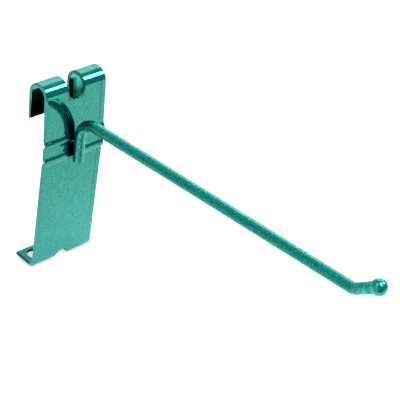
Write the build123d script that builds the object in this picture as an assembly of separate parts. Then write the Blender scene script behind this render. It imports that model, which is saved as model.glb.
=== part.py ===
from build123d import *
import os
from math import cos, radians, sin, sqrt, tan

# A hook that hangs on a wire grid panel. A folded sheet plate goes over one level wire of
# the panel and rests against the next one down. A bent rod is welded to the plate's front
# and carries the goods, and a ball closes the rod's tip.
# Millimetres and degrees. +Z is up, -Y is towards the customer, X runs across the plate.
# The origin is the middle of the fold's hollow, where the panel's level wire lies.
# A drop is a distance down from the origin.

# Folded sheet
plate_width = 31.75
sheet = 1.5
fold_radius = 4.2  # inner radius of the fold over the level wire
back_leg_drop = 11.9  # drop of the back leg's lower end
kink_drop = 24.9  # drop of the line where the plate starts to lean back
kink_radius = 3.0
lean = 4.6  # how far the lower plate leans back
corner_drop = 83.2  # drop of the bottom bend's outer corner, before it is rounded
corner_radius = 3.0  # outer radius of the bottom bend
ear_depth = 10.4  # how far the ears reach behind the lower plate

# Two ribs pressed across the plate, above and below the kink, hollow behind, that carry the rod
rib_pitch = 7.8
rib_height = 0.95
rib_slope = 36.0  # tilt of the rib's flanks
rib_crest_radius = 2.1
rib_foot_radius = 1.6

# Cut-outs that straddle the panel's upright wire, and the hole in each ear
slot_width = 8.3
slot_drop = 3.0  # drop of the slot's round end in the plate's front
notch_width = 8.0
notch_drop = 79.3  # drop of the notch's round end
ear_hole_radius = 3.2

# Bent rod
rod_radius = 2.38
weld_sink = 0.05  # how deep the weld sets the rod into the ribs' crests
stub_drop = 31.4  # drop of the rod's lower end
rod_end_round = 0.5
run_drop = 11.2  # drop of the run's axis over the root bend
run_droop = 0.28  # how far the run dips below level
root_bend_radius = 9.0
arm_length = 154.3  # from the plate's front face to the turn of the tip
tip_rise = 31.6  # how steeply the tip turns up
tip_bend_radius = 4.0
tip_length = 12.6  # from the turn to the ball's centre

# Ball welded on the tip
ball_radius = 3.3
collar_radius = 1.2  # hollow round of the weld collar between ball and rod
collar_lip = 0.1  # wall of the collar at its thin end

fold_outer = fold_radius + sheet
front_face = -fold_outer
upper_rib_drop = kink_drop - rib_pitch / 2
lower_rib_drop = kink_drop + rib_pitch / 2
slot_centre_drop = slot_drop - slot_width / 2
notch_centre_drop = notch_drop + notch_width / 2
ear_middle = (plate_width + notch_width) / 4
lean_down = Vector(sin(radians(lean)), -cos(radians(lean)))  # (Y, Z) down the lower plate
lean_back = Vector(cos(radians(lean)), sin(radians(lean)))  # (Y, Z) square out of its back
tip_way = Vector(-cos(radians(tip_rise)), sin(radians(tip_rise)))  # (Y, Z) along the tip
ball_seat = sqrt(ball_radius**2 - rod_radius**2)  # from the ball's centre to the rod's end


# Point (Y, Z) on the plate's front face, upright above the kink and leaning below it
def plate_front(drop):
    return Vector(front_face + max(0, drop - kink_drop) * tan(radians(lean)), -drop)


# Foot, crest and foot of one rib in (Y, Z), as corners that are not yet rounded
def rib_corners(drop):
    slope = radians(rib_slope)
    apex = rib_height + rib_crest_radius * (1 / cos(slope) - 1)
    down = lean_down if drop > kink_drop else Vector(0, -1)
    back = lean_back if drop > kink_drop else Vector(1, 0)
    half_base = down * (apex / tan(slope))
    middle = plate_front(drop)
    return [middle - half_base, middle - back * apex, middle + half_base]


# A corner of the sheet's outer face moved into the sheet, along the mitre of its two sides
def moved_in(before, corner, after, depth):
    first = (corner - before).normalized().rotate(Axis.Z, 90)
    second = (after - corner).normalized().rotate(Axis.Z, 90)
    return corner + (first + second) * (depth / (1 + first.dot(second)))


# Line in (Y, Z) at a depth under the sheet's outer face, from the back leg to the ears' end
def sheet_line(depth):
    rib_radii = [rib_foot_radius + depth, rib_crest_radius - depth, rib_foot_radius + depth]
    corners = [
        Vector(front_face, 0),
        *rib_corners(upper_rib_drop),
        plate_front(kink_drop),
        *rib_corners(lower_rib_drop),
        plate_front(corner_drop),
        plate_front(corner_drop) + lean_back * (sheet + ear_depth),
    ]
    inner = [moved_in(*three, depth) for three in zip(corners, corners[1:], corners[2:])]
    front = FilletPolyline(
        (front_face + depth, 0),
        *inner,
        corners[-1] - lean_down * depth,
        radius=rib_radii + [kink_radius - depth] + rib_radii + [corner_radius - depth],
    )
    side = fold_outer - depth
    fold = ThreePointArc((side, 0), (0, side), (-side, 0))
    return Wire([Line((side, -back_leg_drop), (side, 0))] + fold.edges() + front.edges())


# Round-ended slot in the plate's front, open over the fold and down the back leg
def top_slot():
    round_end = Circle(slot_width / 2)
    above = Rectangle(slot_width, 2 * fold_outer, align=(Align.CENTER, Align.MIN))
    front = extrude(Plane.XZ * Pos(0, -slot_centre_drop) * (round_end + above), 2 * fold_outer)
    back = Box(
        slot_width,
        2 * fold_outer,
        2 * (fold_outer + back_leg_drop),
        align=(Align.CENTER, Align.MIN, Align.CENTER),
    )
    return front + back


# Round-ended notch through the lower plate and the bottom bend, open between the ears
def bottom_notch():
    round_end = Circle(notch_width / 2)
    below = Rectangle(notch_width, notch_width, align=(Align.CENTER, Align.MAX))
    outline = Plane.XZ * Pos(0, -notch_centre_drop) * (round_end + below)
    through = extrude(outline, 2 * (fold_outer + ear_depth), both=True)
    bend_end = plate_front(corner_drop).X + corner_radius
    between_ears = Box(
        notch_width,
        2 * ear_depth,
        4 * corner_radius,
        align=(Align.CENTER, Align.MIN, Align.CENTER),
    )
    return through + Pos(0, bend_end, -corner_drop) * between_ears


# The round hole through the middle of one ear, square to the ear
def ear_hole(side):
    middle = plate_front(corner_drop) + lean_back * (sheet + ear_depth / 2)
    axis = Pos(side * ear_middle, middle.X, middle.Y) * Rot(X=lean)
    return axis * Cylinder(ear_hole_radius, 4 * sheet)


# One sheet folded over the level wire, ribbed, kinked and bent back into two ears
def back_plate(rod):
    outer = sheet_line(0)
    inner = sheet_line(sheet)
    ends = [Line(outer @ 0, inner @ 0), Line(outer @ 1, inner @ 1)]
    profile = Plane.YZ * make_face(outer.edges() + inner.edges() + ends)
    plate = extrude(profile, plate_width / 2, both=True)
    return plate - top_slot() - bottom_notch() - ear_hole(-1) - ear_hole(1) - rod


# Point (Y, Z) on the rod's axis where it crosses the crest of a rib
def rib_seat(drop):
    back = lean_back if drop > kink_drop else Vector(1, 0)
    return plate_front(drop) - back * (rib_height - weld_sink + rod_radius)


# Corners of the rod's axis in (Y, Z): lower end, root bend, turn of the tip, ball's centre
def rod_corners():
    upper = rib_seat(upper_rib_drop)
    up = (upper - rib_seat(lower_rib_drop)).normalized()
    foot = upper - up * ((stub_drop - upper_rib_drop) / up.Y)
    root = upper + up * ((upper_rib_drop - run_drop) / up.Y)
    turn = Vector(front_face - arm_length, root.Y - arm_length * tan(radians(run_droop)))
    return foot, root, turn, turn + tip_way * tip_length


# Round rod, up across both ribs, out along the run and up at the tip, with a softened lower end
def arm_rod():
    foot, root, turn, ball_centre = rod_corners()
    end = ball_centre - tip_way * ball_seat
    line = FilletPolyline(foot, root, turn, end, radius=[root_bend_radius, tip_bend_radius])
    path = Plane.YZ * line
    rod = sweep(Plane(path @ 0, z_dir=path % 0) * Circle(rod_radius), path=path)
    return fillet(rod.edges().sort_by(Axis.Z)[0], rod_end_round)


# Ball with a flat seat for the rod's end and a hollow-rounded collar of weld around the rod
def end_ball():
    lip = rod_radius + collar_lip
    span = ball_radius + collar_radius
    hollow = Vector(lip + collar_radius, -sqrt(span**2 - (lip + collar_radius) ** 2))
    touch = hollow * (ball_radius / span)
    middle = hollow + (Vector(-1, 0) + (touch - hollow).normalized()).normalized() * collar_radius
    front = (0, ball_radius)
    side = (ball_radius, 0)
    seat = Polyline(
        (lip, hollow.Y),
        (rod_radius, hollow.Y),
        (rod_radius, -ball_seat),
        (0, -ball_seat),
        front,
    )
    outline = [ThreePointArc(front, side, touch), ThreePointArc(touch, middle, (lip, hollow.Y)), seat]
    ball = revolve(Plane.XZ * make_face(outline), Axis.Z)
    centre = rod_corners()[-1]
    return Plane((0, centre.X, centre.Y), x_dir=(1, 0, 0), z_dir=(0, tip_way.X, tip_way.Y)) * ball


os.makedirs("parts", exist_ok=True)
arm = arm_rod()
export_step(back_plate(arm), "parts/back_plate.step")
export_step(arm, "parts/arm_rod.step")
export_step(end_ball(), "parts/end_ball.step")
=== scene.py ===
import math

import bmesh
import bpy
import numpy as np
from mathutils import Matrix


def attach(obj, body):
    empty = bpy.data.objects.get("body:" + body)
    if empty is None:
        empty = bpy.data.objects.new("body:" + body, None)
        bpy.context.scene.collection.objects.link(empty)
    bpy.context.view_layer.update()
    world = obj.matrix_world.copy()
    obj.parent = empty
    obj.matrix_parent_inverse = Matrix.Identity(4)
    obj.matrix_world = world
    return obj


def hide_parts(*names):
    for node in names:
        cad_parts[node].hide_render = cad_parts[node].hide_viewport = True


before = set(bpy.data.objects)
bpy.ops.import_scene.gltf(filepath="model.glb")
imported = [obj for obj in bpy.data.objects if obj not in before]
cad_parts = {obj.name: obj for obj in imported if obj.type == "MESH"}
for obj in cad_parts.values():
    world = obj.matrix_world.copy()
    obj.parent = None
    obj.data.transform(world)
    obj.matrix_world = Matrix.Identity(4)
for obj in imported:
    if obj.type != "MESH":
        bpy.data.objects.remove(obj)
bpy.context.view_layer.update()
scene = bpy.context.scene
print("frame loaded")

# The scene is in metres. Sizes are in millimetres, apart from the studio's and the camera's place.
mm = 0.001
joinWithin = 2e-6  # metres: points of neighbouring grids this close become one
tooShort = 1e-7  # metres: edges this short are dropped

# Sizes that several pieces share
hookValues = {
    "foldRadius": 4.2,  # hollow of the fold over the level wire
    "sheet": 1.5,  # thickness of the plate
    "kinkDrop": 24.9,  # where the plate starts to lean back
    "lean": 4.6,  # degrees
    "ribPitch": 7.8,
    "ribHeight": 0.95,
    "rodRadius": 2.38,
    "ballRadius": 3.3,
}
sheet = hookValues["sheet"]
foldOuter = hookValues["foldRadius"] + sheet
leanAngle = math.radians(hookValues["lean"])
leanDown = np.array([math.sin(leanAngle), -math.cos(leanAngle)])  # (Y, Z) down the lower plate
leanBack = np.array([math.cos(leanAngle), math.sin(leanAngle)])  # (Y, Z) square out of its back
ribDrops = [hookValues["kinkDrop"] + k * hookValues["ribPitch"] / 2 for k in (-1, 1)]


# Point (Y, Z) on the plate's front face: upright above the kink, and below it moved back by the
# drop under the kink times the lean's tangent
def plateFront(drop):
    back = max(0.0, drop - hookValues["kinkDrop"]) * math.tan(leanAngle)
    return np.array([back - foldOuter, -drop])


# Line through corners with each corner rounded: straights cut into equal steps, then points on
# a circle of the corner's radius. Gives points, left-hand normals and the length along the line.
def roundedLine(corners, radii, step, turnStep):
    corners = [np.array(c, float) for c in corners]
    points, normals = [], []
    start = corners[0]
    for before, corner, after, radius in zip(corners, corners[1:], corners[2:], radii):
        one = (corner - before) / np.linalg.norm(corner - before)
        two = (after - corner) / np.linalg.norm(after - corner)
        turn = math.atan2(one[0] * two[1] - one[1] * two[0], float(one @ two))
        cut = radius * math.tan(abs(turn) / 2)
        stop = corner - one * cut
        left = np.array([-one[1], one[0]])
        count = max(1, int(np.ceil(np.linalg.norm(stop - start) / step)))
        points.append(start + np.linspace(0, 1, count, endpoint=False)[:, None] * (stop - start))
        normals.append(np.tile(left, (count, 1)))
        side = math.copysign(1, turn)
        centre = stop + left * radius * side
        count = max(2, int(np.ceil(abs(turn) / turnStep)))
        angle = np.linspace(0, turn, count, endpoint=False)
        turned = np.stack([
            left[0] * np.cos(angle) - left[1] * np.sin(angle),
            left[0] * np.sin(angle) + left[1] * np.cos(angle),
        ], axis=1)
        points.append(centre - turned * radius * side)
        normals.append(turned)
        start = corner + two * cut
    last = (corners[-1] - start) / np.linalg.norm(corners[-1] - start)
    count = max(2, int(np.ceil(np.linalg.norm(corners[-1] - start) / step)) + 1)
    points.append(start + np.linspace(0, 1, count)[:, None] * (corners[-1] - start))
    normals.append(np.tile([-last[1], last[0]], (count, 1)))
    points, normals = np.concatenate(points), np.concatenate(normals)
    length = np.concatenate([[0], np.cumsum(np.linalg.norm(np.diff(points, axis=0), axis=1))])
    return points, normals, length


# Vertices and quads of a grid of points, row by row
def gridPatch(points):
    rows, columns = points.shape[:2]
    index = np.arange(rows * columns).reshape(rows, columns)
    quads = np.stack([index[:-1, :-1], index[1:, :-1], index[1:, 1:], index[:-1, 1:]], axis=-1)
    return points.reshape(-1, 3), quads.reshape(-1, 4)


# One smooth object out of several grids in millimetres. Points that meet are joined, and all
# faces are turned outward.
def addPiece(name, patches):
    vertices, faces, offset = [], [], 0
    for points in patches:
        v, f = gridPatch(points)
        vertices.append(v)
        faces.append(f + offset)
        offset += len(v)
    mesh = bpy.data.meshes.new(name)
    mesh.from_pydata((np.concatenate(vertices) * mm).tolist(), [], np.concatenate(faces).tolist())
    work = bmesh.new()
    work.from_mesh(mesh)
    bmesh.ops.remove_doubles(work, verts=work.verts, dist=joinWithin)
    bmesh.ops.dissolve_degenerate(work, edges=work.edges, dist=tooShort)
    bmesh.ops.recalc_face_normals(work, faces=work.faces)
    work.to_mesh(mesh)
    work.free()
    mesh.polygons.foreach_set("use_smooth", np.ones(len(mesh.polygons), bool))
    piece = bpy.data.objects.new(name, mesh)
    scene.collection.objects.link(piece)
    return piece


# The plate
plateValues = {
    "width": 31.75,
    "backLegDrop": 11.9,
    "kinkRadius": 3.0,
    "cornerDrop": 83.2,
    "cornerRadius": 3.0,
    "earDepth": 10.4,
    "ribSlope": 36.0,  # degrees
    "ribCrestRadius": 2.1,
    "ribFootRadius": 1.6,
    "slotWidth": 8.3,
    "slotDrop": 3.0,
    "notchWidth": 8.0,
    "notchDrop": 79.3,
    "earHoleRadius": 3.2,
    "edgeRound": 0.32,  # the coat rounds every edge of the sheet
    "step": 0.7,  # most length of a face along the sheet
    "turnStep": 3.0,  # most degrees of a bend in one face
    "columns": 22,  # faces across each half
    "roundRows": 25,  # rows over the slot's round end, and over the notch's
    "roundClear": 0.12,  # other rows keep this far from those
    "rowGap": 0.03,  # and this far from each other
    "endClear": (0.2, 0.05),  # and this far from the first row and the last
    "earRows": 15,  # points down the ear's side
    "holeRings": 8,  # from the ear's hole to its outline
    "edgeRows": 5,  # points over a rounded edge
}
slotRadius = plateValues["slotWidth"] / 2 + plateValues["edgeRound"]  # where the flat face ends
slotCentre = plateValues["slotWidth"] / 2 - plateValues["slotDrop"]
notchRadius = plateValues["notchWidth"] / 2 + plateValues["edgeRound"]
notchCentre = -plateValues["notchDrop"] - plateValues["notchWidth"] / 2


# Foot, crest and foot of one rib, as corners before rounding
def ribCorners(drop):
    slope = math.radians(plateValues["ribSlope"])
    apex = hookValues["ribHeight"] + plateValues["ribCrestRadius"] * (1 / math.cos(slope) - 1)
    down = leanDown if drop > hookValues["kinkDrop"] else np.array([0.0, -1.0])
    back = leanBack if drop > hookValues["kinkDrop"] else np.array([1.0, 0.0])
    middle = plateFront(drop)
    foot = down * apex / math.tan(slope)
    return [middle - foot, middle - back * apex, middle + foot]


# The sheet's outer face from the back leg's end, over the fold and down to the ears' end
def plateLine():
    corner = plateFront(plateValues["cornerDrop"])
    rib = [plateValues["ribFootRadius"], plateValues["ribCrestRadius"], plateValues["ribFootRadius"]]
    corners = [
        (foldOuter, -plateValues["backLegDrop"]),
        (foldOuter, foldOuter),
        (-foldOuter, foldOuter),
        *ribCorners(ribDrops[0]),
        plateFront(hookValues["kinkDrop"]),
        *ribCorners(ribDrops[1]),
        corner,
        corner + leanBack * (sheet + plateValues["earDepth"]),
    ]
    radii = [foldOuter, foldOuter, *rib, plateValues["kinkRadius"], *rib, plateValues["cornerRadius"]]
    return roundedLine(corners, radii, plateValues["step"], math.radians(plateValues["turnStep"]))


# The sheet is the surface (u, line(s) + normal(s) * depth): s runs along the bent line, u runs
# across the plate, and depth goes from the outer face into the sheet. Past its ends the line
# goes straight on.
def onSheet(bentLine, s, u, depth):
    line, normal, length = bentLine
    y, z = (np.interp(s, length, line[:, k]) for k in range(2))
    ny, nz = (np.interp(s, length, normal[:, k]) for k in range(2))
    before = np.clip(-s, 0, None)
    beyond = np.clip(s - length[-1], 0, None)
    y = y + ny * depth + beyond * leanBack[0]
    z = z + nz * depth - before + beyond * leanBack[1]
    return np.stack([u, y, z], axis=-1)


# Half the chord of a circle at a distance from its centre: the root of the radius squared less
# the distance squared
def halfChord(radius, away):
    return np.sqrt(np.clip(radius**2 - away**2, 0, None))


# Rows of the sheet's grid, as lengths s along the line. The round ends of the slot and the notch
# have rows of their own, at equal turns of their circles. Gives the rows, the half-width of the
# cut-out at each (half the circle's chord, and full width beyond the centre), and the tips' rows.
def sheetRows(line, length):
    front = np.flatnonzero(np.diff(line[:, 1]) < 0)
    front = np.arange(front[0], front[-1] + 2)  # from the fold's top to the sheet's lowest point
    top, lowest = front[0], front[-1]
    turned = np.cos(np.radians(np.linspace(0, 90, plateValues["roundRows"])))
    slotHeights = slotCentre - slotRadius * turned
    notchHeights = np.maximum(notchCentre + notchRadius * turned, line[lowest, 1])
    ownRows = [np.interp(-z, -line[front, 1], length[front]) for z in (slotHeights, notchHeights)]
    slotTip, notchTip = (round(own[0], 4) for own in ownRows)
    ownRows = np.concatenate(ownRows)

    first = plateValues["edgeRound"]
    last = length[-1] - (sheet + plateValues["earDepth"] - plateValues["cornerRadius"])
    firstClear, lastClear = plateValues["endClear"]
    rows = length[(length > first + firstClear) & (length < last - lastClear)]
    rows = np.unique(np.round(np.concatenate([[first], rows, ownRows, [last]]), 4))
    near = np.min(np.abs(rows[:, None] - ownRows[None, :]), axis=1)
    gap = np.concatenate([[first], np.diff(rows)])
    isOwn = near < 1e-3  # the same but for the rounding
    rows = rows[isOwn | ((near > plateValues["roundClear"]) & (gap > plateValues["rowGap"]))]

    height = np.interp(rows, length, line[:, 1])
    inSlot = np.where(height < slotCentre, halfChord(slotRadius, height - slotCentre), slotRadius)
    inSlot = np.where(rows < length[top], slotRadius, np.where(rows < slotTip - 1e-6, inSlot, 0))
    low = np.where(rows < length[lowest], height, line[lowest, 1])
    inNotch = np.where(rows > notchTip + 1e-6, halfChord(notchRadius, low - notchCentre), 0)
    tipRows = [int(np.argmin(np.abs(rows - tip))) for tip in (slotTip, notchTip)]
    return rows, inSlot + inNotch, tipRows


# The ear's flat in (s, u), from the row where it starts: its outline, the hole's rim with a point
# on the ray from the hole's middle to each point of the outline, and those rays
def earOutline(start, total, across):
    end = total - plateValues["edgeRound"]
    along = np.linspace(start, end, plateValues["earRows"])
    outline = np.concatenate([
        np.column_stack([np.full(len(across), start), across])[:-1],
        np.column_stack([along, np.full(len(along), across[-1])])[:-1],
        np.column_stack([np.full(len(across), end), across[::-1]])[:-1],
        np.column_stack([along[::-1], np.full(len(along), across[0])]),
    ])
    earMiddle = (plateValues["width"] + plateValues["notchWidth"]) / 4
    middle = np.array([total - plateValues["earDepth"] / 2, earMiddle])
    ray = outline - middle
    ray /= np.linalg.norm(ray, axis=1)[:, None]
    rim = middle + ray * (plateValues["earHoleRadius"] + plateValues["edgeRound"])
    return outline, rim, ray


# Outline of one half in (s, u), from the slot's tip round the prong, down the side, round the ear
# and to the notch's tip. The way out of the sheet at a point is the mitre of its two sides: the
# sum of their normals over one plus their dot product.
def halfBorder(rows, u, earLine, tipRows):
    columns = u.shape[1]
    innerSide, outerSide = (np.column_stack([rows, u[:, k]]) for k in (0, -1))
    legEnd = np.column_stack([np.full(columns, rows[0]), u[0]])
    border = np.concatenate([
        innerSide[tipRows[0]::-1],
        legEnd[1:],
        outerSide[1:],
        earLine[columns:],
        innerSide[:tipRows[1] - 1:-1][1:],
    ])
    step = np.diff(border, axis=0)
    step /= np.linalg.norm(step, axis=1)[:, None]
    out = np.column_stack([-step[:, 1], step[:, 0]])
    miter = (out[:-1] + out[1:]) / (1 + np.sum(out[:-1] * out[1:], axis=1))[:, None]
    return border, np.concatenate([[[-1.0, 0.0]], miter, [[1.0, 0.0]]])


# Each half is a grid of the sheet with rings round the ear's hole, on both faces, and a rim round
# each outline: a quarter round, the sheet's cut face, a quarter round. The other half mirrors it.
def buildPlate():
    bentLine = plateLine()
    line, _, length = bentLine
    edge = plateValues["edgeRound"]
    half = plateValues["width"] / 2 - edge
    rows, gapHalf, tipRows = sheetRows(line, length)
    across = np.linspace(0, 1, plateValues["columns"] + 1)
    u = gapHalf[:, None] + across[None, :] * (half - gapHalf[:, None])
    s = np.repeat(rows[:, None], len(across), axis=1)
    outline, rim, ray = earOutline(rows[-1], length[-1], u[-1])
    outward = np.linspace(0, 1, plateValues["holeRings"])[:, None, None]
    rings = rim[None] + outward * (outline - rim)[None]
    border, out = halfBorder(rows, u, outline, tipRows)

    bend = np.radians(np.linspace(0, 90, plateValues["edgeRows"]))
    reach = np.concatenate([np.sin(bend), np.sin(bend)[::-1]]) * edge
    sunk = (1 - np.cos(bend)) * edge
    depth = np.concatenate([sunk, sheet - sunk[::-1]])[:, None]
    patches = []
    for path, away in ((border, out), (rim, -ray)):
        at = path[None] + away[None] * reach[:, None, None]
        patches.append(onSheet(bentLine, at[..., 0], at[..., 1], depth))
    for level in (0.0, sheet):
        patches.append(onSheet(bentLine, s, u, level))
        patches.append(onSheet(bentLine, rings[..., 0], rings[..., 1], level))
    mirror = np.array([-1.0, 1.0, 1.0])
    return addPiece("plateSheet", patches + [p * mirror for p in patches])


plate = buildPlate()
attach(plate, "root")
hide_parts("back_plate")
print("plate built,", len(plate.data.polygons), "faces")

# The bent rod
rodValues = {
    "weldSink": 0.05,
    "stubDrop": 31.4,  # lower end
    "endRound": 0.5,
    "runDrop": 11.2,
    "runDroop": 0.28,  # degrees
    "rootBendRadius": 9.0,
    "armLength": 154.3,
    "tipRise": 31.6,  # degrees
    "tipBendRadius": 4.0,
    "tipLength": 12.6,  # from the turn to the ball's centre
    "step": 1.2,  # most length of a face along the rod
    "turnStep": 2.0,  # most degrees of a bend in one face
    "around": 96,
    "endRows": 7,  # rings over the lower end's rounded edge
    "endClear": 0.1,  # between those and the next ring
}
tipAngle = math.radians(rodValues["tipRise"])
tipWay = np.array([-math.cos(tipAngle), math.sin(tipAngle)])


# Point on the rod's axis where it crosses a rib's crest
def ribSeat(drop):
    back = leanBack if drop > hookValues["kinkDrop"] else np.array([1.0, 0.0])
    away = hookValues["ribHeight"] - rodValues["weldSink"] + hookValues["rodRadius"]
    return plateFront(drop) - back * away


# Corners of the rod's axis: lower end, root bend, turn of the tip, ball's centre
def rodCorners():
    upper, lower = ribSeat(ribDrops[0]), ribSeat(ribDrops[1])
    up = (upper - lower) / np.linalg.norm(upper - lower)
    foot = upper - up * ((rodValues["stubDrop"] - ribDrops[0]) / up[1])
    root = upper + up * ((ribDrops[0] - rodValues["runDrop"]) / up[1])
    dip = rodValues["armLength"] * math.tan(math.radians(rodValues["runDroop"]))
    turn = np.array([-foldOuter - rodValues["armLength"], root[1] - dip])
    return foot, root, turn, turn + tipWay * rodValues["tipLength"]


# A circle carried along the rounded axis: (r sin t, axis + normal * r cos t), with t once round.
# The radius r grows over the lower end's flat and its quarter-round edge, stays the rod's along
# the axis, and closes to nothing inside the ball.
def buildRod():
    radii = (rodValues["rootBendRadius"], rodValues["tipBendRadius"])
    turnStep = math.radians(rodValues["turnStep"])
    line, normal, length = roundedLine(rodCorners(), radii, rodValues["step"], turnStep)
    radius, soft = hookValues["rodRadius"], rodValues["endRound"]
    bend = np.radians(np.linspace(0, 90, rodValues["endRows"]))
    flat = [0, 0.6 * radius, 0.9 * (radius - soft)]  # rings over the flat
    along = length[length > soft + rodValues["endClear"]]
    ahead = np.concatenate([[0, 0, 0], soft * (1 - np.cos(bend)), along])
    ahead[-1] = ahead[-2]
    size = [flat, radius - soft + soft * np.sin(bend), np.full(len(along) - 1, radius), [0]]
    size = np.concatenate(size)[:, None]
    y, z = (np.interp(ahead, length, line[:, k])[:, None] for k in range(2))
    ny, nz = (np.interp(ahead, length, normal[:, k])[:, None] for k in range(2))
    turnRound = np.linspace(0, 2 * math.pi, rodValues["around"] + 1)[None]
    side, rise = size * np.sin(turnRound), size * np.cos(turnRound)
    return addPiece("rod", [np.stack([side, y + ny * rise, z + nz * rise], axis=-1)])


rod = buildRod()
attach(rod, "root")
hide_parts("arm_rod")
print("rod built,", len(rod.data.polygons), "faces")

# The ball and the collar of weld behind it
ballValues = {
    "collarRadius": 1.2,
    "collarLip": 0.1,
    "coneLength": 2.4,  # over which the collar thins out on the rod
    "coneSink": 0.02,  # how deep it ends in the rod
    "around": 96,
    "ballRows": 64,
    "collarRows": 14,
}


# A profile turned about the tip's axis: an arc of the ball from its front pole to the collar,
# the collar's hollow arc, a cone that thins out on the rod, then inward to the axis.
def buildBall():
    ball, rodSize = hookValues["ballRadius"], hookValues["rodRadius"]
    collar = ballValues["collarRadius"]
    away = rodSize + ballValues["collarLip"] + collar
    back = -math.sqrt((ball + collar) ** 2 - away**2)
    coneEnd = back - ballValues["coneLength"]
    touch = math.atan2(away, back)  # from the front pole
    arc = np.linspace(0, touch, ballValues["ballRows"])
    hollow = np.linspace(math.atan2(-back, -away), math.pi, ballValues["collarRows"])
    coneSize = rodSize - ballValues["coneSink"]
    r = np.concatenate([ball * np.sin(arc), away + collar * np.cos(hollow), [coneSize, 0]])[:, None]
    x = np.concatenate([ball * np.cos(arc), back + collar * np.sin(hollow), [coneEnd, coneEnd]])
    turnRound = np.linspace(0, 2 * math.pi, ballValues["around"] + 1)[None]
    centre = rodCorners()[3]
    side, lift = r * np.sin(turnRound), r * np.cos(turnRound)
    y = centre[0] + x[:, None] * tipWay[0] + lift * tipWay[1]
    z = centre[1] + x[:, None] * tipWay[1] - lift * tipWay[0]
    return addPiece("ball", [np.stack([side, y, z], axis=-1)])


ball = buildBall()
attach(ball, "root")
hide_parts("end_ball")
print("ball built,", len(ball.data.polygons), "faces")

# Coat: green metal flakes under a clear gloss. Colours are linear, and upper and lower are those
# of the hook's upper and lower part; the plate's lower colour is lighter, painted light that
# brightens it towards the bottom. A band of X, Y or Z gives where a mark starts and where it is
# full, in millimetres, and most marks are painted light or shade. A level or a tint multiplies the
# coat there.
coatValues = {
    "plate": {
        "upper": (0.010, 0.290, 0.225),
        # painted light: lighter than the upper colour, towards the plate's bottom
        "lower": (0.040, 0.412, 0.355),
        "contrast": 0.40,  # how much the flakes differ
        "cloudy": 0.20,  # how much larger patches differ
        "sparkle": 0.30,  # how much brighter the best-turned flakes are
        "flakeSize": 0.38,  # millimetres
        "rough": 0.09,
        "ripple": 0.05,
        "grazing": (0.62, 1.0, 0.93),  # tint of the metal seen at a flat angle
        "gloss": 0.76,
        "coatIor": 1.52,
        "hollow": {  # painted shade inside the fold, with painted light where light comes in
            "reachBand": (4.75, 4.5),  # from the fold's axis
            "bandZ": (-21, -15),
            "frontBandY": (2, -2),
            "mouthBandX": (13.6, 14.7),
            "front": (0.03, 1.90),  # levels of its front half, far inside and by its open ends, where painted light comes in
            "backBandZ": (-7, -1),
            "back": (0.24, 1.45),  # levels of its back half: painted shade low down, painted light at the top by the slot
        },
        # painted shade: a darker line along the plate's right side, fading out lower down
        "sideShadeLine": {"x": 13.2, "half": 0.8, "endBandZ": (-45, -70), "level": 0.70},
        # painted shade on the ribs' crests beside the rod, standing in for its shadow and dark reflection
        "shadeBesideRod": {
            "bandX": (4.2, 2.9),
            "topBandZ": (-18.4, -20),
            "lowBandZ": (-31.6, -30.6),
            "level": 0.30,
        },
        # painted shade on the slot's cut edge
        "slotEdgeShade": {"bandX": (4.85, 4.6), "bandZ": (-3.5, -3.2), "level": 0.60},
        # painted shade on the ears' top
        "ears": {"bandY": (1.2, 2.2), "bandZ": (-79, -80), "level": 0.29},
    },
    "rod": {
        "upper": (0.007, 0.335, 0.256),
        "lower": (0.007, 0.335, 0.256),
        "contrast": 0.7,
        "cloudy": 0.5,
        "sparkle": 0.9,
        "flakeSize": 0.34,
        "rough": 0.21,
        "ripple": 0.10,
        "grazing": (0.62, 1.0, 0.93),
        "gloss": 1.0,
        "coatIor": 1.40,
        "stub": {"bandZ": (-14, -18), "tint": (1.0, 0.88, 0.90)},
        "plateSideShade": {  # painted shade and dark reflection on the side that faces the plate
            "facing": (0.02, 0.42),  # the normal's Y, from where it starts to where it is full
            "stubFacing": 0.52,  # added to it on the stub
            "bandY": (-40, -22),
            "tint": (0.4, 0.42, 0.85),
            "gloss": 0.5,
        },
        # painted light: the tint makes the neck before the ball lighter; its added roughness is the weld's
        # own
        "neck": {"bandY": (-164.8, -166.4), "tint": (12.0, 1.85, 2.0), "rough": 0.45, "gloss": 0.5},
        # painted reflection: a dark line down the stub
        "reflectedLine": {"x": -0.93, "halfBand": (0.58, 0.22), "level": 0.50},
        "flankShade": {  # painted shade on the run's flanks
            "underTop": (0.48, 0.26),  # the normal's Z
            "overBase": (-0.24, -0.06),
            "rootBandY": (-15, -24),
            "tipBandY": (-164, -158),
            "level": 0.70,
        },
    },
    "ball": {
        "upper": (0.012, 0.36, 0.275),
        "lower": (0.012, 0.36, 0.275),
        "contrast": 0.5,
        "cloudy": 0.5,
        "sparkle": 0.6,
        "flakeSize": 0.40,
        "rough": 0.16,
        "ripple": 0.10,
        "grazing": (0.30, 1.0, 0.93),
        "gloss": 1.0,
        "coatIor": 1.50,
        "collar": {"aheadBand": (-1.2, -2.0), "tint": (2.0, 1.2, 1.25), "rough": 0.35, "gloss": 0.15},
    },
}

# What the three coats share
grainValues = {
    "cloud": {"Scale": 600.0, "Detail": 5.0, "Roughness": 0.7},
    "haze": {"Scale": 90.0, "Detail": 3.0},
    "hazeBand": (0.2, 0.8),
    "hazeRough": (0.7, 1.3),  # shares of the roughness, in thin and thick haze
    "bestFlakes": (0.90, 0.98),  # which flakes sparkle, of values from 0 to 1
    "drowned": 0.75,  # how far a thick coat evens the flakes out
    "lowerBandZ": (-30, -80),  # from the upper colour to the lower; on the plate this is painted light, lighter below
    "rippleHeight": 0.2,  # millimetres
    "clearRough": 0.03,  # roughness of the clear gloss
}


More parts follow.
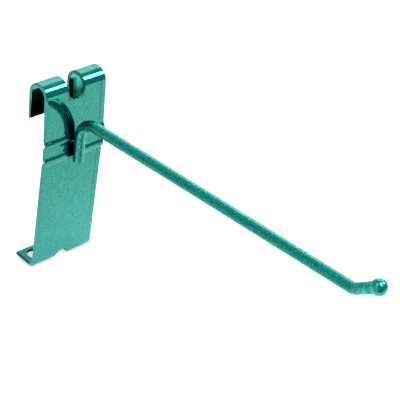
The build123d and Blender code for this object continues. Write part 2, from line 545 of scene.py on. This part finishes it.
# Links a socket to another one, or gives it a number, a vector or a colour
def feed(tree, target, term):
    if isinstance(term, bpy.types.NodeSocket):
        tree.links.new(term, target)
    elif target.type == "RGBA":
        target.default_value = (*term, 1)
    else:
        target.default_value = term


# Adds a node with its settings and feeds its inputs
def node(tree, kind, inputs=None, **settings):
    made = tree.nodes.new(kind)
    for key, value in settings.items():
        setattr(made, key, value)
    for key, term in (inputs or {}).items():
        feed(tree, made.inputs[key], term)
    return made


def mathNode(tree, operation, *terms):
    return node(tree, "ShaderNodeMath", dict(enumerate(terms)), operation=operation).outputs[0]


def product(tree, first, *others):
    for other in others:
        first = mathNode(tree, "MULTIPLY", first, other)
    return first


# Smooth step of a socket over a band, from 0 to 1 or between the given levels
def stepNode(tree, socket, band, low=0.0, high=1.0):
    inputs = {"Value": socket, "From Min": band[0], "From Max": band[1], "To Min": low, "To Max": high}
    return node(tree, "ShaderNodeMapRange", inputs, interpolation_type="SMOOTHSTEP").outputs["Result"]


# The same over a band in millimetres
def placeStep(tree, socket, band, low=0.0, high=1.0):
    return stepNode(tree, socket, (band[0] * mm, band[1] * mm), low, high)


# Distance of a socket from a place in millimetres
def distanceNode(tree, socket, place):
    return mathNode(tree, "ABSOLUTE", mathNode(tree, "SUBTRACT", socket, place * mm))


# Result of an operation on vectors, or on a vector and a number
def vectorNode(tree, operation, inputs):
    return node(tree, "ShaderNodeVectorMath", inputs, operation=operation).outputs["Vector"]


# Blend of two numbers by a factor
def blendNode(tree, factor, one, two):
    return node(tree, "ShaderNodeMix", {0: factor, 2: one, 3: two}).outputs[0]


# Blend of two colours by a factor
def tintNode(tree, factor, one, two, **settings):
    inputs = {0: factor, 6: one, 7: two}
    return node(tree, "ShaderNodeMix", inputs, data_type="RGBA", **settings).outputs[2]


# Painted light and shade on the plate, as a level that multiplies its colour and gloss. What lies
# near the fold's axis, or near the plane straight down from it, is the fold's inside: painted shade,
# nearly black in front and dark at the back, with painted light by its open ends and at the top of
# the back, by the slot. Painted shade makes a darker line along the plate's right side, darkens the
# ribs' crests beside the rod, and darkens the slot's cut edge and the ears' top.
def plateShade(tree, axes, values):
    x, y, z = (axes.outputs[k] for k in "XYZ")
    fromMiddle = mathNode(tree, "ABSOLUTE", x)
    above = mathNode(tree, "MAXIMUM", z, 0.0)
    squares = (mathNode(tree, "POWER", side, 2.0) for side in (y, above))
    reach = mathNode(tree, "SQRT", mathNode(tree, "ADD", *squares))

    # painted shade inside the fold, lightened by painted light by its open ends and at the back's top
    hollow = values["hollow"]
    inside = product(tree, placeStep(tree, reach, hollow["reachBand"]), placeStep(tree, z, hollow["bandZ"]))
    back = placeStep(tree, z, hollow["backBandZ"], *hollow["back"])
    front = placeStep(tree, fromMiddle, hollow["mouthBandX"], *hollow["front"])
    folded = blendNode(tree, placeStep(tree, y, hollow["frontBandY"]), back, front)
    level = blendNode(tree, inside, 1.0, folded)

    line, shadeBesideRod, slotEdgeShade, ears = (values[k] for k in ("sideShadeLine", "shadeBesideRod", "slotEdgeShade", "ears"))
    # painted shade: a darker line along the plate's right side
    offLine = placeStep(tree, distanceNode(tree, x, line["x"]), (0.0, line["half"]))
    offLine = mathNode(tree, "MAXIMUM", offLine, placeStep(tree, z, line["endBandZ"]))
    level = product(tree, level, blendNode(tree, offLine, line["level"], 1.0))
    # painted shade beside the rod, on the slot's cut edge and on the ears' top
    places = {
        "shadeBesideRod": ((z, shadeBesideRod["topBandZ"]), (z, shadeBesideRod["lowBandZ"]), (fromMiddle, shadeBesideRod["bandX"])),
        "slotEdgeShade": ((fromMiddle, slotEdgeShade["bandX"]), (z, slotEdgeShade["bandZ"])),
        "ears": ((y, ears["bandY"]), (z, ears["bandZ"])),
    }
    for key, bands in places.items():
        mask = product(tree, *(placeStep(tree, socket, band) for socket, band in bands))
        level = product(tree, level, blendNode(tree, mask, 1.0, values[key]["level"]))
    return {"tint": level, "gloss": level}


# Painted shade and a dark painted reflection, tinted blue and less glossy, on the side of the stub
# and the bend that faces the plate; painted shade on the run's flanks; a painted reflection as a dark
# line down the stub, which is also tinted a little darker. Painted light makes the weld's neck
# before the ball lighter, and it is rougher there. Gives a tint, a gloss, an added roughness and
# where the flakes are drowned.
def rodShade(tree, axes, values):
    x, y, z = (axes.outputs[k] for k in "XYZ")
    normal = node(tree, "ShaderNodeNewGeometry").outputs["Normal"]
    facing = node(tree, "ShaderNodeSeparateXYZ", {"Vector": normal})
    stub, side, neck, reflectedLine, flankShade = (values[k] for k in ("stub", "plateSideShade", "neck", "reflectedLine", "flankShade"))

    onStub = placeStep(tree, z, stub["bandZ"])
    # painted shade and dark reflection on the side of the stub and bend that faces the plate
    toPlate = mathNode(tree, "MULTIPLY_ADD", onStub, side["stubFacing"], facing.outputs["Y"])
    onPlateSideShade = product(tree, stepNode(tree, toPlate, side["facing"]), placeStep(tree, y, side["bandY"]))
    # painted light: the neck before the ball is lighter
    onNeck = placeStep(tree, y, neck["bandY"])
    tint = (1, 1, 1)
    for mask, part in ((onStub, stub), (onPlateSideShade, side), (onNeck, neck)):
        tint = tintNode(tree, mask, tint, part["tint"])

    # painted reflection: a dark line down the stub
    onReflectedLine = product(tree, placeStep(tree, distanceNode(tree, x, reflectedLine["x"]), reflectedLine["halfBand"]), onStub)
    # painted shade on the run's flanks, between its top and its underside
    upright = [stepNode(tree, facing.outputs["Z"], flankShade[k]) for k in ("underTop", "overBase")]
    onRun = [placeStep(tree, y, flankShade[k]) for k in ("rootBandY", "tipBandY")]
    onFlankShade = product(tree, *upright, *onRun)
    dark = blendNode(tree, onReflectedLine, 1.0, reflectedLine["level"])
    dark = product(tree, dark, blendNode(tree, onFlankShade, 1.0, flankShade["level"]))
    tint = vectorNode(tree, "SCALE", {0: tint, "Scale": dark})
    gloss = product(tree, blendNode(tree, onPlateSideShade, 1.0, side["gloss"]), dark)
    gloss = product(tree, gloss, blendNode(tree, onNeck, 1.0, neck["gloss"]))
    return {"tint": tint, "gloss": gloss, "dull": product(tree, onNeck, neck["rough"]), "even": onNeck}


# The weld's collar behind the ball is duller than the ball. It lies at a distance behind the
# ball's centre, measured along the tip.
def ballShade(tree, axes, values):
    collar = values["collar"]
    centre = rodCorners()[3] * mm
    ahead = mathNode(tree, "MULTIPLY_ADD", axes.outputs["Y"], tipWay[0], -centre @ tipWay)
    ahead = mathNode(tree, "MULTIPLY_ADD", axes.outputs["Z"], tipWay[1], ahead)
    onCollar = placeStep(tree, ahead, collar["aheadBand"])
    tint = tintNode(tree, onCollar, (1, 1, 1), collar["tint"])
    gloss = blendNode(tree, onCollar, 1.0, collar["gloss"])
    return {"tint": tint, "gloss": gloss, "dull": product(tree, onCollar, collar["rough"]), "even": onCollar}


# Flakes of random brightness under a clear coat, with a slight ripple and cloudy gloss
def coatMaterial(name, values, shadeNodes):
    material = bpy.data.materials.new(name)
    material.use_nodes = True
    tree = material.node_tree
    surface = tree.nodes["Principled BSDF"]
    place = node(tree, "ShaderNodeTexCoord").outputs["Object"]
    axes = node(tree, "ShaderNodeSeparateXYZ", {"Vector": place})
    shade = shadeNodes(tree, axes, values)
    scale = 1 / (values["flakeSize"] * mm)
    flake = node(tree, "ShaderNodeTexVoronoi", {"Vector": place, "Scale": scale})
    cloud = node(tree, "ShaderNodeTexNoise", {"Vector": place, **grainValues["cloud"]}).outputs["Fac"]
    haze = node(tree, "ShaderNodeTexNoise", {"Vector": place, **grainValues["haze"]}).outputs["Fac"]

    grain = node(tree, "ShaderNodeSeparateColor", {"Color": flake.outputs["Color"]}).outputs[0]
    contrast, cloudy = values["contrast"], values["cloudy"]
    bright = mathNode(tree, "MULTIPLY_ADD", grain, contrast, 1 - contrast / 2)
    sparkle = stepNode(tree, grain, grainValues["bestFlakes"], 0.0, values["sparkle"])
    bright = mathNode(tree, "ADD", bright, sparkle)
    bright = product(tree, bright, mathNode(tree, "MULTIPLY_ADD", cloud, cloudy, 1 - cloudy / 2))
    if "even" in shade:  # the flakes are drowned in the thick coat
        bright = blendNode(tree, product(tree, shade["even"], grainValues["drowned"]), bright, 1.0)

    # painted light: on the plate the colour gets lighter towards the bottom
    low = placeStep(tree, axes.outputs["Z"], grainValues["lowerBandZ"])
    tone = tintNode(tree, low, values["upper"], values["lower"])
    colour = vectorNode(tree, "SCALE", {0: tone, "Scale": bright})
    least, most = (values["rough"] * share for share in grainValues["hazeRough"])
    rough = stepNode(tree, haze, grainValues["hazeBand"], least, most)
    if "dull" in shade:
        rough = mathNode(tree, "ADD", rough, shade["dull"])
    ripple = {"Height": cloud, "Strength": values["ripple"], "Distance": grainValues["rippleHeight"] * mm}
    looks = {
        "Base Color": vectorNode(tree, "MULTIPLY", {0: colour, 1: shade["tint"]}),
        "Metallic": 1.0,
        "Roughness": rough,
        "Specular Tint": values["grazing"],
        "Normal": node(tree, "ShaderNodeBump", ripple).outputs["Normal"],
        "Coat Weight": product(tree, bright, values["gloss"], shade["gloss"]),
        "Coat Roughness": grainValues["clearRough"],
        "Coat IOR": values["coatIor"],
    }
    for key, term in looks.items():
        feed(tree, surface.inputs[key], term)
    return material


coated = ((plate, "plate", plateShade), (rod, "rod", rodShade), (ball, "ball", ballShade))
for piece, key, shadeNodes in coated:
    piece.data.materials.append(coatMaterial(key + "Coat", coatValues[key], shadeNodes))
print("coats made")

# Studio: a white floor, two soft lamps, a dim room and a white wall behind. Lengths are in metres,
# and a turn is 0 straight before the plate and 90 to its right.
studioValues = {
    "floor": {
        "drop": 0.0840,
        "turn": 46.6,  # the near edge is square to the camera's view
        "near": 0.215,
        "far": 0.75,
        "side": 0.70,
        "cloud": {"Scale": 6.0, "Detail": 2.0},
        "whites": (0.90, 0.93),  # least and most
        "cutOut": 0.50,  # how much whiter it is for the camera
    },
    "wall": {
        "turn": 121.0,
        "far": 0.75,
        "wide": 0.64,
        "tall": 0.52,
        "cloud": {"Scale": 3.0, "Detail": 1.0},
        "light": (1.15, 1.219),  # strength of its glow, least and most
    },
    "lamps": {
        "stripe": {"turn": 52.0, "rise": 40.0, "far": 0.9, "wide": 0.20, "tall": 0.28, "power": 2.10},
        "high": {"turn": 0.0, "rise": 57.0, "far": 0.9, "wide": 0.28, "tall": 0.56, "power": 4.1},
    },
    "world": {
        "fill": 0.65,  # light from all round, for soft shadows
        "front": (0.10, 0.38, 0.45),  # what a mirror sees of the room, in front and behind
        "back": (0.33, 0.64, 0.66),
        "backRight": 0.8,  # how much a way to the right counts as one to the back
        "backBand": (-0.1, 0.5),
        "leftBand": (-0.70, -0.88),  # the room is paler far to the left
        "leftLevel": 1.6,
        # soft lights that mirrors see: the way to each, the cosines where it starts and is full
        "lights": [
            {"way": (0.70, 0.50, 0.51), "band": (0.86, 0.95), "level": 1.2},
            {"way": (-0.58, 0.12, 0.81), "band": (0.945, 0.985), "level": 1.5},
        ],
    },
}


# One face through four corners
def addFace(name, corners, material):
    mesh = bpy.data.meshes.new(name)
    mesh.from_pydata([c.tolist() for c in corners], [], [(0, 1, 2, 3)])
    mesh.materials.append(material)
    face = bpy.data.objects.new(name, mesh)
    scene.collection.objects.link(face)
    return face


def addFloor(values):
    material = bpy.data.materials.new("floorWhite")
    material.use_nodes = True
    tree = material.node_tree
    place = node(tree, "ShaderNodeTexCoord").outputs["Object"]
    cloud = node(tree, "ShaderNodeTexNoise", {"Vector": place, **values["cloud"]})
    ramp = node(tree, "ShaderNodeValToRGB", {"Fac": cloud.outputs["Fac"]})
    for element, white in zip(ramp.color_ramp.elements, values["whites"]):
        element.color = (white, white, white, 1)
    seen = node(tree, "ShaderNodeLightPath").outputs["Is Camera Ray"]
    looks = {
        "Base Color": ramp.outputs["Color"],
        "Roughness": 1.0,
        "Specular IOR Level": 0.0,
        "Emission Color": (1, 1, 1),
        "Emission Strength": product(tree, seen, values["cutOut"]),
    }
    for key, term in looks.items():
        feed(tree, tree.nodes["Principled BSDF"].inputs[key], term)
    turn = math.radians(values["turn"])
    away = np.array([math.sin(turn), math.cos(turn), 0])
    side = np.array([math.cos(turn), -math.sin(turn), 0]) * values["side"]
    down = np.array([0, 0, -values["drop"]])
    near, far = down - away * values["near"], down + away * values["far"]
    floor = addFace("floor", [near - side, near + side, far + side, far - side], material)


# A glowing wall behind that the hook's coat mirrors, standing on the floor
def addWall(values, drop):
    material = bpy.data.materials.new("wallWhite")
    material.use_nodes = True
    tree = material.node_tree
    tree.nodes.remove(tree.nodes["Principled BSDF"])
    place = node(tree, "ShaderNodeTexCoord").outputs["Object"]
    cloud = node(tree, "ShaderNodeTexNoise", {"Vector": place, **values["cloud"]}).outputs["Fac"]
    least, most = values["light"]
    level = node(tree, "ShaderNodeMapRange", {"Value": cloud, "To Min": least, "To Max": most})
    glow = node(tree, "ShaderNodeEmission", {"Color": (1, 1, 1), "Strength": level.outputs["Result"]})
    tree.links.new(glow.outputs["Emission"], tree.nodes["Material Output"].inputs["Surface"])
    turn = math.radians(values["turn"])
    way = np.array([math.sin(turn), -math.cos(turn), 0]) * values["far"]
    side = np.array([math.cos(turn), math.sin(turn), 0]) * values["wide"] / 2
    low, high = np.array([0, 0, -drop]), np.array([0, 0, values["tall"] - drop])
    corners = [way - side + low, way + side + low, way + side + high, way - side + high]
    wall = addFace("wall", corners, material)
    wall.visible_camera = False  # mirrored in the hook, and never between it and a camera


# An area lamp at a turn and at a rise above level
def addLamp(name, values):
    turn, rise = math.radians(values["turn"]), math.radians(values["rise"])
    level = np.array([math.sin(turn), -math.cos(turn), 0])
    way = level * math.cos(rise) + np.array([0, 0, math.sin(rise)])
    right = np.array([math.cos(turn), math.sin(turn), 0])
    data = bpy.data.lights.new(name, "AREA")
    data.shape = "RECTANGLE"
    data.size, data.size_y = values["wide"], values["tall"]
    data.energy = values["power"]
    lamp = bpy.data.objects.new(name, data)
    turned = Matrix(np.column_stack([right, np.cross(way, right), way]).tolist()).to_4x4()
    lamp.matrix_world = Matrix.Translation((way * values["far"]).tolist()) @ turned
    scene.collection.objects.link(lamp)


# The camera sees white, mirrors see the room and its lights, and all else gets the even fill
def addWorld(values):
    world = bpy.data.worlds.new("studio")
    scene.world = world
    world.use_nodes = True
    tree = world.node_tree
    path = node(tree, "ShaderNodeLightPath")
    place = node(tree, "ShaderNodeTexCoord").outputs["Generated"]
    way = node(tree, "ShaderNodeSeparateXYZ", {"Vector": place})
    behind = mathNode(tree, "MULTIPLY_ADD", way.outputs["X"], values["backRight"], way.outputs["Y"])
    behind = stepNode(tree, behind, values["backBand"])
    left = stepNode(tree, way.outputs["X"], values["leftBand"], 0.0, values["leftLevel"])
    behind = mathNode(tree, "ADD", behind, left)
    seen = tintNode(tree, behind, values["front"], values["back"], clamp_factor=False)
    for light in values["lights"]:
        along = node(tree, "ShaderNodeVectorMath", {0: place, 1: light["way"]}, operation="DOT_PRODUCT")
        glow = stepNode(tree, along.outputs["Value"], light["band"], 0.0, light["level"])
        seen = vectorNode(tree, "ADD", {0: seen, 1: glow})
    colour = tintNode(tree, path.outputs["Is Glossy Ray"], (values["fill"],) * 3, seen)
    colour = tintNode(tree, path.outputs["Is Camera Ray"], colour, (1, 1, 1))
    tree.links.new(colour, tree.nodes["Background"].inputs["Color"])


addFloor(studioValues["floor"])
addWall(studioValues["wall"], studioValues["floor"]["drop"])
for name, values in studioValues["lamps"].items():
    addLamp(name, values)
addWorld(studioValues["world"])
scene.view_settings.view_transform = "Standard"
print("studio lit")

# Camera: where the photograph was taken from
cameraValues = {
    "place": (-0.38834, -0.44798, 0.30924),  # metres from the fold's centre
    "turn": 46.586,  # degrees from looking straight at the plate, towards +X
    "dip": 31.198,  # degrees that the view looks down
    "roll": 5.633,  # degrees that the picture leans
    "focal": 145.61,  # millimetres
    "picture": 36.0,  # width of the picture in millimetres
    "nearest": 0.01,  # metres from the camera to the first thing it can see
}


def addCamera(values):
    turn, dip, roll = (math.radians(values[k]) for k in ("turn", "dip", "roll"))
    ahead = np.array([math.sin(turn) * math.cos(dip), math.cos(turn) * math.cos(dip), -math.sin(dip)])
    right = np.array([math.cos(turn), -math.sin(turn), 0])
    up = np.cross(right, ahead)
    leanRight = math.cos(roll) * right + math.sin(roll) * up
    leanUp = math.cos(roll) * up - math.sin(roll) * right
    turned = Matrix(np.column_stack([leanRight, leanUp, -ahead]).tolist()).to_4x4()
    data = bpy.data.cameras.new("photoCamera")
    data.lens = values["focal"]
    data.sensor_width = values["picture"]
    data.clip_start = values["nearest"]
    camera = bpy.data.objects.new("photoCamera", data)
    camera.matrix_world = Matrix.Translation(values["place"]) @ turned
    scene.collection.objects.link(camera)
    scene.camera = camera


addCamera(cameraValues)
print("camera placed")
